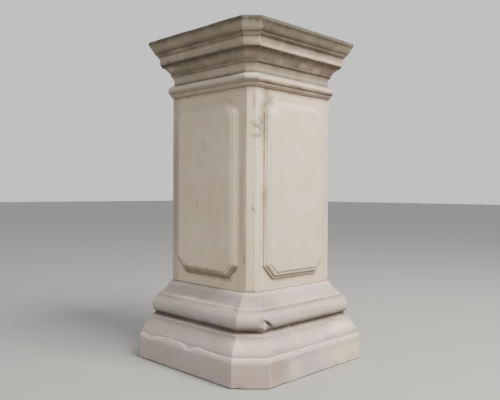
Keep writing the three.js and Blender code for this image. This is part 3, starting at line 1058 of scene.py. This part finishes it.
class PanelledDie:
    """Surface of the die: on each face, loops run from the face's rim to the panel's border and on
    to the middle of its field. Upright strips round the cut corners join the faces."""

    wide_count = 40
    tall_count = 90
    clip_count = 12
    margin_rings = 9
    border_rings = 46
    field_rings = 15
    arc_count = 5
    cut_count = 7
    bed_rings = 5
    # How far the panel's outline runs on outside and inside its border
    outer_lead = 16 * MM
    inner_lead = 30 * MM
    # How worn the panels are, counterclockwise from the right
    worn_faces = (0.1, 0.3, 0.6, 1.0)
    # Dirt and painted shade in a border's hollows when it faces down (-1), sideways (0) or up (1): most
    # where it faces down, away from the light
    dirt_and_shade_by_facing = ((-1, -0.5, 0, 0.7, 1), (1, 0.85, 0.17, 0.06, 0.04))
    # Share of its hollows and arrises that a fully worn border has lost
    smoothing = 0.6
    # How much of an arris a cut corner counts as, for pale wear and painted highlight
    corner_arris = 0.5
    # Size of the lumps in the unevenness of the faces
    wave_size = 200 * MM
    # Chipping of the beds' rims: depth, reach from the bed, size of lumps, mean share and its change
    chip_depth = 0.6 * MM
    chip_reach = 3 * MM
    chip_size = 30 * MM
    chip_mean = 0.6
    chip_change = 0.6
    # Rubbing of the cut corners: depth, size of lumps, and how far from the flat cut a point may be
    rub_depth = 2 * MM
    rub_size = (40 * MM, 40 * MM, 90 * MM)
    cut_slack = 1 * MM

    def __init__(self, node, panel, wear, grain):
        low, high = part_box(node)
        self.low = low.z
        self.high = high.z
        self.half = high.x - sum(member.up for member in PANEL_MEMBERS) * MM
        self.panel = panel
        self.wear = wear
        self.grain = grain
        leg = panel.corner_width / math.sqrt(2)
        self.leg = leg
        self.rim_half = self.half - leg - wear.corner * math.tan(EIGHTH / 2)
        self.panel_half = self.half - leg - panel.side_margin
        self.panel_low = self.low + panel.foot_margin
        self.panel_high = self.high - panel.head_margin
        path = member_path(PANEL_MEMBERS)
        path = np.concatenate([[path[0] - [self.outer_lead, 0]], path, [path[-1] + [self.inner_lead, 0]]])
        self.border = Outline(path, wear, self.border_rings, turned=-1)

    def loop_shares(self):
        """For each sample of a loop: the corner it starts from and its share of the way to the next."""
        counts = [self.wide_count, self.clip_count, self.tall_count, self.clip_count] * 2
        start = np.repeat(np.arange(8), counts)
        share = np.concatenate([np.arange(count) / count for count in counts])
        return start, share

    @staticmethod
    def corners(half, low, high, cut):
        """The eight corners of clipped rectangles, from the left end of the foot counterclockwise."""
        across = [cut - half, half - cut, half, half, half - cut, cut - half, -half, -half]
        rise = [low, low, low + cut, high - cut, high, high, high - cut, low + cut]
        return np.stack([np.stack(across, axis=-1), np.stack(rise, axis=-1)], axis=-1)

    def rim_loop(self):
        """Loop along the rim of the face, which turns its corners in the middle of the clips."""
        start, share = self.loop_shares()
        near = self.corners(self.panel_half, self.panel_low, self.panel_high, self.panel.corner_cut)
        rim = near.copy()
        rim[[0, 1], 1] = self.low
        rim[[4, 5], 1] = self.high
        rim[[2, 3], 0] = self.rim_half
        rim[[6, 7], 0] = -self.rim_half
        turn = np.zeros_like(rim)
        turn[1] = [self.rim_half, self.low]
        turn[3] = [self.rim_half, self.high]
        turn[5] = [-self.rim_half, self.high]
        turn[7] = [-self.rim_half, self.low]
        end = (start + 1) % 8
        straight = (1 - share)[:, None] * rim[start] + share[:, None] * rim[end]
        first = np.clip(2 * share, 0, 1)[:, None]
        second = np.clip(2 * share - 1, 0, 1)[:, None]
        bent = rim[start] * (1 - first) + turn[start] * (first - second) + rim[end] * second
        return np.where((start % 2 == 1)[:, None], bent, straight)

    def face(self, worn):
        """Grid of one face: distance along it, height, and how far out of the face each point is.
        The border moves towards its worn outline by the given share."""
        start, share = self.loop_shares()
        inset = self.border.out + worn * self.border.shift[0]
        border_rise = self.border.up + worn * self.border.shift[1]
        cut = self.panel.corner_cut - inset * LEG_LOSS
        corner = self.corners(self.panel_half - inset, self.panel_low + inset, self.panel_high - inset, cut)
        end = (start + 1) % 8
        loops = (1 - share)[None, :, None] * corner[:, start] + share[None, :, None] * corner[:, end]
        part = np.linspace(0, 1, self.margin_rings)[:-1, None, None]
        margin = self.rim_loop()[None] * (1 - part) + loops[:1] * part
        middle = np.array([0, (self.panel_low + self.panel_high) / 2])
        part = np.linspace(1, 0, self.field_rings)[1:, None, None]
        field = middle + (loops[-1:] - middle) * part
        level = np.concatenate([margin, loops, field])
        step = corner[:1, end] - corner[:1, start]
        facing_up = -step[..., 0] / np.linalg.norm(step, axis=-1)
        dirt_and_shade_caught = np.interp(facing_up, *self.dirt_and_shade_by_facing)
        before = len(margin)
        after = len(field)
        rise = np.concatenate([np.zeros(before), border_rise, np.full(after, border_rise[-1])])
        hollow = np.pad(self.border.hollow, (before, after)) * (1 - self.smoothing * worn)
        arris = np.pad(self.border.arris, (before, after)) * (1 - self.smoothing * worn)
        rise = np.broadcast_to(rise[:, None], level.shape[:2])
        return level, rise, hollow[:, None] * dirt_and_shade_caught, np.broadcast_to(arris[:, None], level.shape[:2])

    def upright_heights(self):
        """Heights of the points along the upright rims of the faces."""
        foot = np.linspace(self.low, self.panel_low + self.panel.corner_cut, self.clip_count // 2 + 1)
        head = np.linspace(self.panel_high - self.panel.corner_cut, self.high, self.clip_count // 2 + 1)
        middle = np.linspace(foot[-1], head[0], self.tall_count + 1)
        return np.concatenate([foot[:-1], middle, head[1:]])

    def strip_line(self, corner):
        """Level line round one cut corner: an arc, the flat cut, and another arc."""
        start = Plan.vertex(2 * corner)
        end = Plan.vertex(2 * corner + 1)
        arc = np.linspace(0, 1, self.arc_count)
        flat = np.linspace(0, 1, self.cut_count)[1:-1]
        share = np.concatenate([np.zeros(self.arc_count), flat, np.ones(self.arc_count)])[:, None]
        turn = 2 * corner + np.concatenate([arc, np.ones(len(flat)), 1 + arc])
        inner = self.half - self.wear.corner
        reach = inner - (self.leg - LEG_LOSS * self.wear.corner)
        first, last = (face * inner + way * reach for face, way in (start, end))
        return (1 - share) * first + share * last + level_directions(turn) * self.wear.corner

    def rim_line(self, corner):
        """Level line along the foot of the face before a corner."""
        inner = self.panel_half - self.panel.corner_cut
        half = self.clip_count // 2 + 1
        left = np.linspace(-self.rim_half, -inner, half)
        middle = np.linspace(-inner, inner, self.wide_count + 1)
        right = np.linspace(inner, self.rim_half, half)
        along = np.concatenate([left[:-1], middle, right[1:]])[:, None]
        return Plan.heading(2 * corner) * self.half + Plan.heading(2 * corner + 2) * along

    def build(self, name):
        """The piece: four faces, four strips and two beds, merged into one closed surface."""
        grids = []
        heights = self.upright_heights()
        for corner in range(4):
            ahead = Plan.heading(2 * corner)
            aside = Plan.heading(2 * corner + 2)
            level, rise, hollow, arris = self.face(self.worn_faces[corner])
            plan = ahead * (self.half + rise)[..., None] + aside * level[..., :1]
            grids.append((np.concatenate([plan, level[..., 1:]], axis=-1), hollow, arris, True))
            line = self.strip_line(corner)
            strip = np.concatenate([
                np.broadcast_to(line, (len(heights), len(line), 2)),
                np.broadcast_to(heights[:, None, None], (len(heights), len(line), 1)),
            ], axis=-1)
            none = np.zeros(strip.shape[:2])
            grids.append((strip, none, none + self.corner_arris, False))
        rim = np.concatenate([part for corner in range(4)
                              for part in (self.rim_line(corner)[:-1], self.strip_line(corner)[:-1])])
        share = np.linspace(1, 0, self.bed_rings)[:, None, None]
        for height in (self.low, self.high):
            bed = rim[None] * share
            bed = np.concatenate([bed, np.full(bed.shape[:2] + (1,), height)], axis=-1)
            none = np.zeros(bed.shape[:2])
            grids.append((bed, none, none, True))
        points, quads, masks, first = [], [], {"hollow": [], "arris": []}, 0
        for grid, low_part, high_part, closed in grids:
            points.append(grid.reshape(-1, 3))
            quads.append(grid_quads(grid.shape[0], grid.shape[1], closed) + first)
            masks["hollow"].append(low_part.reshape(-1))
            masks["arris"].append(high_part.reshape(-1))
            first += grid.shape[0] * grid.shape[1]
        masks = {mask: np.concatenate(values) for mask, values in masks.items()}
        piece = build_piece(name, np.concatenate(points), np.concatenate(quads), masks)
        self.weather(piece.data)
        return piece

    def weather(self, mesh):
        """Moves each point in by the waviness, and more on the cut corners and along the beds' rims."""
        points, normals, _ = mesh_values(mesh)
        broad = self.wear.waviness * self.grain.share(points, self.wave_size)
        rim = np.minimum(points[:, 2] - self.low, self.high - points[:, 2])
        chipped = self.chip_depth * np.exp(-(rim / self.chip_reach) ** 2)
        chipped = chipped * (self.chip_mean + self.chip_change * self.grain.layered(points, self.chip_size))
        off_cut = np.abs(points[:, :2]).sum(axis=1) - (2 * self.half - self.leg)
        lumps = np.clip(self.grain.layered(points, self.rub_size), 0, 1)
        rubbed = np.where(np.abs(off_cut) < self.cut_slack, lumps, 0) * self.rub_depth
        inwards = normals.copy()
        inwards[:, 2] = 0
        points = points - inwards * (broad + chipped + rubbed)[:, None]
        points[:, 2] = np.clip(points[:, 2], self.low, self.high)
        mesh.vertices.foreach_set("co", points.astype(np.float32).reshape(-1))
        mesh.update()


class NodeGraph:
    """Short ways to add nodes to a material."""

    def __init__(self, tree):
        self.tree = tree
        self.tree.nodes.clear()

    def add(self, kind, inputs=None, **settings):
        """A node with its settings, each input a value or the socket that feeds it."""
        node = self.tree.nodes.new(kind)
        for setting, value in settings.items():
            setattr(node, setting, value)
        for name, value in (inputs or {}).items():
            if isinstance(value, bpy.types.NodeSocket):
                self.tree.links.new(value, node.inputs[name])
            else:
                node.inputs[name].default_value = value
        return node

    def noise(self, where, pattern, output="Fac"):
        """A noise value from 0 to 1, or a colour of three such values."""
        return self.add("ShaderNodeTexNoise", {
            "Vector": where, "Scale": pattern.scale, "Detail": pattern.detail,
            "Roughness": pattern.roughness}).outputs[output]

    def remap(self, value, low, high, to_low=0.0, to_high=1.0):
        """A value stretched from one range to another and held within it."""
        return self.add("ShaderNodeMapRange", {
            "Value": value, "From Min": low, "From Max": high,
            "To Min": to_low, "To Max": to_high}).outputs["Result"]

    def math(self, operation, first, second):
        """Two values put together."""
        return self.add("ShaderNodeMath", {0: first, 1: second}, operation=operation).outputs[0]

    def vector(self, operation, inputs, output=0):
        """Vectors put together, or the length of one."""
        return self.add("ShaderNodeVectorMath", inputs, operation=operation).outputs[output]

    def blend(self, share, first, second, mode="MIX"):
        """Two colours put together."""
        return self.add("ShaderNodeMix", {0: share, 6: first, 7: second},
                        data_type="RGBA", blend_type=mode).outputs[2]

    def mask(self, name):
        """A value kept on the points of the mesh."""
        return self.add("ShaderNodeAttribute", attribute_name=name).outputs["Fac"]

    def marked(self, where, marks):
        """Strongest of the marks: each is an ellipsoid on its side, fading between two sizes."""
        strongest = 0.0
        for mark in marks:
            side = math.radians(SIDE_ANGLES[mark.side])
            middle = np.array([math.cos(side), math.sin(side)]) * MARK_REACH
            middle += np.array([-math.sin(side), math.cos(side)]) * mark.along * MM
            local = self.add("ShaderNodeMapping", {
                "Vector": where, "Location": (*middle, mark.height * MM),
                "Rotation": (math.radians(mark.tilt), 0, side),
                "Scale": (MARK_DEPTH, mark.wide / 2 * MM, mark.tall / 2 * MM),
            }, vector_type="TEXTURE").outputs[0]
            far = self.vector("LENGTH", {0: local}, "Value")
            strength = self.remap(far, MARK_GONE, MARK_FULL, 0.0, mark.strength)
            strongest = self.math("MAXIMUM", strongest, strength)
        return strongest

    def bump(self, size, height, normal=None):
        """A normal bent by a height, of some strength and depth, on top of another normal."""
        inputs = {"Strength": size[0], "Distance": size[1], "Height": height}
        if normal is not None:
            inputs["Normal"] = normal
        return self.add("ShaderNodeBump", inputs).outputs[0]


def scaled(colour, share, tint=(1, 1, 1)):
    """A colour made darker or lighter and tinted, with an opaque fourth value."""
    return tuple(min(1, channel * share * hue) for channel, hue in zip(colour, tint)) + (1,)


def weathered_stone(name, stone, colours, marks, pitting, tinted):
    """Limestone: clouded, tinted and mottled, with fine grain and pits, darkened by dirt and painted shade
    by height, under overhangs and in its hollows, and paled by wear and painted highlight on its arrises.
    Pitting widens the pitted areas, and tinted is the strength of the hues."""
    material = bpy.data.materials.new(name)
    material.use_nodes = True
    graph = NodeGraph(material.node_tree)
    where = graph.add("ShaderNodeTexCoord").outputs["Object"]
    drawn_out = graph.add("ShaderNodeMapping", {"Vector": where, "Scale": STREAK_STRETCH}).outputs[0]
    clouds = graph.noise(where, CLOUDS)
    mottle = graph.noise(where, MOTTLE)
    streaks = graph.noise(drawn_out, STREAKS)
    grain = graph.noise(where, GRAININESS)
    pits = graph.add("ShaderNodeTexVoronoi", {"Vector": where, "Scale": PITS_PER_METRE}).outputs["Distance"]
    pitted = graph.remap(graph.noise(where, PITTED_AREAS), *(end - pitting for end in PITTED_RANGE))
    pit = graph.math("MULTIPLY", graph.remap(pits, *PIT_RANGE), pitted)

    colour = graph.blend(graph.remap(clouds, *CLOUD_RANGE), scaled(stone, *DULL_CLOUD),
                         scaled(stone, *BRIGHT_CLOUD))
    hue = graph.blend(graph.remap(graph.noise(where, HUES), *HUE_RANGE), GREENISH, LILAC)
    colour = graph.blend(tinted, colour, hue, "MULTIPLY")
    colour = graph.blend(graph.remap(mottle, *MOTTLE_RANGE), colour, scaled(stone, *DARK_MOTTLE))
    colour = graph.blend(graph.remap(streaks, *STREAK_RANGE), colour, scaled(stone, *DARK_STREAK))
    colour = graph.blend(graph.remap(grain, *GRAIN_RANGE), colour, scaled(stone, *DARK_GRAIN))
    drift = graph.vector("SUBTRACT", {0: graph.noise(where, DRIFT, "Color"), 1: NOISE_MIDDLE})
    drift = graph.vector("SCALE", {0: drift, "Scale": DRIFT_REACH})
    ragged = graph.vector("ADD", {0: where, 1: drift})
    broken = graph.remap(mottle, *BROKEN_RANGE)

    def under_marks(colour, kinds):
        """A colour with marks of these kinds laid over it."""
        for kind in kinds:
            if kind in marks:
                share = graph.math("MULTIPLY", graph.marked(ragged, marks[kind]), broken)
                colour = graph.blend(share, colour, scaled(getattr(colours, kind), 1))
        return colour

    colour = under_marks(colour, EARLY_MARKS)
    # Dirt and painted shade by height, side and overhang, laid over the stone
    soiled_and_shaded = graph.math("MULTIPLY", graph.mask("soiling"), broken)
    colour = graph.blend(soiled_and_shaded, colour, scaled(colours.soil, 1))
    rubbed = graph.math("MULTIPLY", graph.mask("rubbed"), graph.remap(mottle, *RUBBED_RANGE))
    colour = graph.blend(rubbed, colour, scaled(colours.pale, 1))
    # Pale wear with painted highlight on the arrises
    worn = graph.math("MULTIPLY", graph.mask("arris"), graph.remap(mottle, *ARRIS_HIGHLIGHT_RANGE))
    colour = graph.blend(worn, colour, scaled(colours.pale, 1))
    # Painted shade and dirt in the hollows, from the outline's hollow mask
    filled = graph.math("MULTIPLY", graph.mask("hollow"), graph.remap(streaks, *HOLLOW_SHADE_RANGE))
    colour = graph.blend(filled, colour, scaled(colours.soil, *HOLLOW_SHADE_AND_SOIL))
    colour = under_marks(colour, LATE_MARKS)
    colour = graph.blend(graph.math("MULTIPLY", pit, PIT_SHARE), colour, scaled(colours.soil, *PIT_SOIL))

    rough = graph.remap(mottle, *ROUGHNESS_RANGE)
    normal = graph.bump(UNEVEN_BUMP, graph.noise(where, UNEVENNESS))
    normal = graph.bump(GRAIN_BUMP, grain, normal)
    normal = graph.bump(PIT_BUMP, graph.math("SUBTRACT", 1.0, pit), normal)
    shader = graph.add("ShaderNodeBsdfPrincipled", {
        "Base Color": colour, "Roughness": rough, "Normal": normal, "Specular IOR Level": GLOSS})
    output = graph.add("ShaderNodeOutputMaterial")
    graph.tree.links.new(shader.outputs[0], output.inputs[0])
    return material


def settle(piece, node, material):
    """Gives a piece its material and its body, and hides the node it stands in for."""
    piece.data.materials.append(material)
    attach(piece, "root")
    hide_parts(node)


def no_wave(points, headings):
    """Lifts nothing."""
    return np.zeros(points.shape[:-1])


class MESH_OT_pedestal_base(bpy.types.Operator):
    """Build the moulded base with its worn plinth and chipped torus"""

    bl_idname = "mesh.pedestal_base"
    bl_label = "Moulded base"

    seed = 11

    def execute(self, context):
        colours = context.scene.pedestal_colours
        grain = Grain(self.seed)

        def arris_wave(points, headings):
            """Near the arris, a sum of bells along the front and a gentle random wave on other sides."""
            height = points[..., 2] / MM
            band = np.exp(-((height - PLINTH_ARRIS_HEIGHT) / PLINTH_ARRIS_BAND) ** 2)
            along, _ = tilted(points, "front")
            front = sum(rise * np.exp(-((along - middle) / width) ** 2)
                        for middle, rise, width in FRONT_ARRIS_WAVE)
            elsewhere = SIDE_WAVE_RISE * grain.layered(points, SIDE_WAVE_SIZE)
            return band * MM * np.where(facing_side(headings, "front"), front, elsewhere)

        course = Course("base", BASE_MEMBERS, BASE_TAPER, context.scene.pedestal_wear, grain)
        piece = course.build("moulded_base", BASE_LOSSES, arris_wave)
        paint_masks(piece, grain, BASE_WEATHER)
        settle(piece, "base",
               weathered_stone("base_stone", colours.base_stone, colours, BASE_MARKS,
                               pitting=0.03, tinted=1.0))
        return {"FINISHED"}


class MESH_OT_pedestal_die(bpy.types.Operator):
    """Build the die with its four raised panels"""

    bl_idname = "mesh.pedestal_die"
    bl_label = "Panelled die"

    seed = 23

    def execute(self, context):
        colours = context.scene.pedestal_colours
        grain = Grain(self.seed)
        die = PanelledDie("die", context.scene.pedestal_panel, context.scene.pedestal_wear, grain)
        piece = die.build("panelled_die")
        paint_masks(piece, grain, DIE_WEATHER)
        settle(piece, "die",
               weathered_stone("die_stone", colours.die_stone, colours, DIE_MARKS,
                               pitting=0.0, tinted=0.4))
        return {"FINISHED"}


class MESH_OT_pedestal_cap(bpy.types.Operator):
    """Build the moulded cap with its soiled cornice"""

    bl_idname = "mesh.pedestal_cap"
    bl_label = "Moulded cap"

    seed = 37

    def execute(self, context):
        colours = context.scene.pedestal_colours
        grain = Grain(self.seed)
        course = Course("cap", CAP_MEMBERS, CAP_TAPER, context.scene.pedestal_wear, grain)
        piece = course.build("moulded_cap", CAP_LOSSES, no_wave)
        paint_masks(piece, grain, CAP_WEATHER)
        settle(piece, "cap",
               weathered_stone("cap_stone", colours.cap_stone, colours, CAP_MARKS,
                               pitting=0.05, tinted=0.6))
        return {"FINISHED"}


class SCENE_OT_pedestal_stage(bpy.types.Operator):
    """Lay the floor, hang the light and set the camera up"""

    bl_idname = "scene.pedestal_stage"
    bl_label = "Floor, light and camera"

    floor_reach = 30.0
    floor_lines = 3
    floor_roughness = 0.9
    key_distance = 4.0
    key_target_height = 0.6

    def execute(self, context):
        studio = context.scene.pedestal_studio
        self.lay_floor(studio)
        self.hang_light(studio)
        self.light_world(studio)
        self.set_camera(studio)
        return {"FINISHED"}

    def lay_floor(self, studio):
        """A level square under the object."""
        side = np.linspace(-self.floor_reach, self.floor_reach, self.floor_lines)
        x, y = np.meshgrid(side, side)
        points = np.stack([x, y, np.full_like(x, CAD_BOX[0].z)], axis=-1).reshape(-1, 3)
        mesh = bpy.data.meshes.new("floor")
        quads = grid_quads(self.floor_lines, self.floor_lines, closed=False)
        mesh.from_pydata(points.tolist(), [], quads.tolist())
        floor = bpy.data.objects.new("floor", mesh)
        bpy.context.scene.collection.objects.link(floor)
        material = bpy.data.materials.new("pale_floor")
        material.use_nodes = True
        shader = material.node_tree.nodes["Principled BSDF"]
        shader.inputs["Base Color"].default_value = scaled(studio.floor_colour, 1)
        shader.inputs["Roughness"].default_value = self.floor_roughness
        mesh.materials.append(material)

    def hang_light(self, studio):
        """A large soft light, turned to the middle of the object."""
        lamp = bpy.data.lights.new("key", "AREA")
        lamp.energy = studio.key_power
        lamp.color = studio.key_colour
        lamp.size = studio.key_size
        light = bpy.data.objects.new("key", lamp)
        light.location = (
            self.key_distance * math.sin(studio.key_azimuth) * math.cos(studio.key_elevation),
            -self.key_distance * math.cos(studio.key_azimuth) * math.cos(studio.key_elevation),
            self.key_target_height + self.key_distance * math.sin(studio.key_elevation),
        )
        light.rotation_euler = (math.pi / 2 - studio.key_elevation, 0, studio.key_azimuth)
        bpy.context.scene.collection.objects.link(light)

    def light_world(self, studio):
        """Even white light from all round, which is also the background."""
        world = bpy.data.worlds.new("studio")
        world.use_nodes = True
        graph = NodeGraph(world.node_tree)
        fill = graph.add("ShaderNodeBackground", {"Color": (1, 1, 1, 1), "Strength": studio.fill})
        output = graph.add("ShaderNodeOutputWorld")
        graph.tree.links.new(fill.outputs[0], output.inputs[0])
        bpy.context.scene.world = world

    def set_camera(self, studio):
        """A level camera at the photograph's place, its horizon raised by a small shift."""
        lens = bpy.data.cameras.new("camera")
        lens.sensor_width = SENSOR_WIDTH
        lens.lens = studio.focal_pixels * SENSOR_WIDTH / PHOTO_WIDTH
        lens.shift_x = -studio.middle_shift / PHOTO_WIDTH
        lens.shift_y = -studio.horizon_shift / PHOTO_WIDTH
        camera = bpy.data.objects.new("camera", lens)
        camera.location = (
            studio.distance * math.sin(studio.azimuth),
            -studio.distance * math.cos(studio.azimuth),
            studio.eye_height,
        )
        camera.rotation_mode = "XYZ"
        camera.rotation_euler = (math.pi / 2, 0, studio.azimuth)
        camera.rotation_euler.rotate_axis("Z", studio.roll)
        bpy.context.scene.collection.objects.link(camera)
        bpy.context.scene.camera = camera


class VIEW3D_PT_pedestal(bpy.types.Panel):
    """Lists the pedestal's pieces and its stage"""

    bl_idname = "VIEW3D_PT_pedestal"
    bl_label = "Column base"
    bl_space_type = "VIEW_3D"
    bl_region_type = "UI"
    bl_category = "Column base"

    def draw(self, context):
        for operator in OPERATORS:
            self.layout.operator(operator.bl_idname)
        for group in SETTINGS:
            box = self.layout.box()
            settings = getattr(context.scene, group)
            for name in settings.__annotations__:
                box.prop(settings, name)


SETTINGS = {
    "pedestal_colours": StoneColours,
    "pedestal_wear": WearSizes,
    "pedestal_panel": PanelSizes,
    "pedestal_studio": StudioLight,
}
OPERATORS = (MESH_OT_pedestal_base, MESH_OT_pedestal_die, MESH_OT_pedestal_cap, SCENE_OT_pedestal_stage)


def register():
    """Registers the settings, the operators and the panel."""
    for name, group in SETTINGS.items():
        bpy.utils.register_class(group)
        setattr(bpy.types.Scene, name, bpy.props.PointerProperty(type=group))
    for operator in OPERATORS:
        bpy.utils.register_class(operator)
    bpy.utils.register_class(VIEW3D_PT_pedestal)


def unregister():
    """Takes away what register added."""
    bpy.utils.unregister_class(VIEW3D_PT_pedestal)
    for operator in reversed(OPERATORS):
        bpy.utils.unregister_class(operator)
    for name, group in SETTINGS.items():
        delattr(bpy.types.Scene, name)
        bpy.utils.unregister_class(group)


def main():
    register()
    bpy.ops.mesh.pedestal_base()
    bpy.ops.mesh.pedestal_die()
    bpy.ops.mesh.pedestal_cap()
    bpy.ops.scene.pedestal_stage()


if __name__ == "__main__":
    main()
